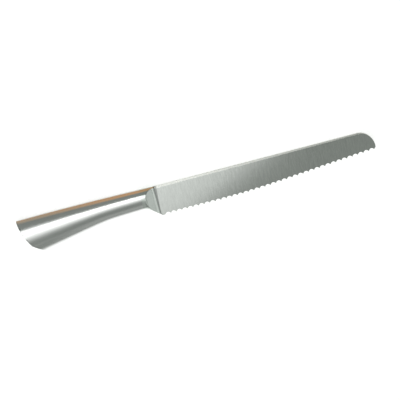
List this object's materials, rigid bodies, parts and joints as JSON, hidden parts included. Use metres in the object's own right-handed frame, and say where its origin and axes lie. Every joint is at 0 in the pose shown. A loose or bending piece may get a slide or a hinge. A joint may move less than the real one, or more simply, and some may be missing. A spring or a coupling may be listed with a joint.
{
  "type": "bread knife",
  "caption": "Rigid all-steel bread knife: a long scalloped blade with a round nose, a scooped bolster and a hollow flared handle.",
  "frame": {"origin": "bottom centre of the knife's box, with the knife lying on its left side", "axes": "+X from the butt to the tip, +Y from the cutting edge to the spine, +Z out of the right side of the blade"},
  "size_m": [0.3751, 0.0406, 0.02],
  "materials": {
    "blade_steel": "satin, ground across the blade's length",
    "bolster_steel": "fine satin on the scooped facets, polished neck",
    "handle_steel": "polished stainless steel",
    "setting_compound": "dull cast resin"
  },
  "bodies": {
    "root": {"blade": "blade_steel", "bolster": "bolster_steel", "handle_shell_right": "handle_steel", "handle_shell_left": "handle_steel", "butt_cap": "handle_steel", "tang_filler": "setting_compound"}
  },
  "joints": []
}
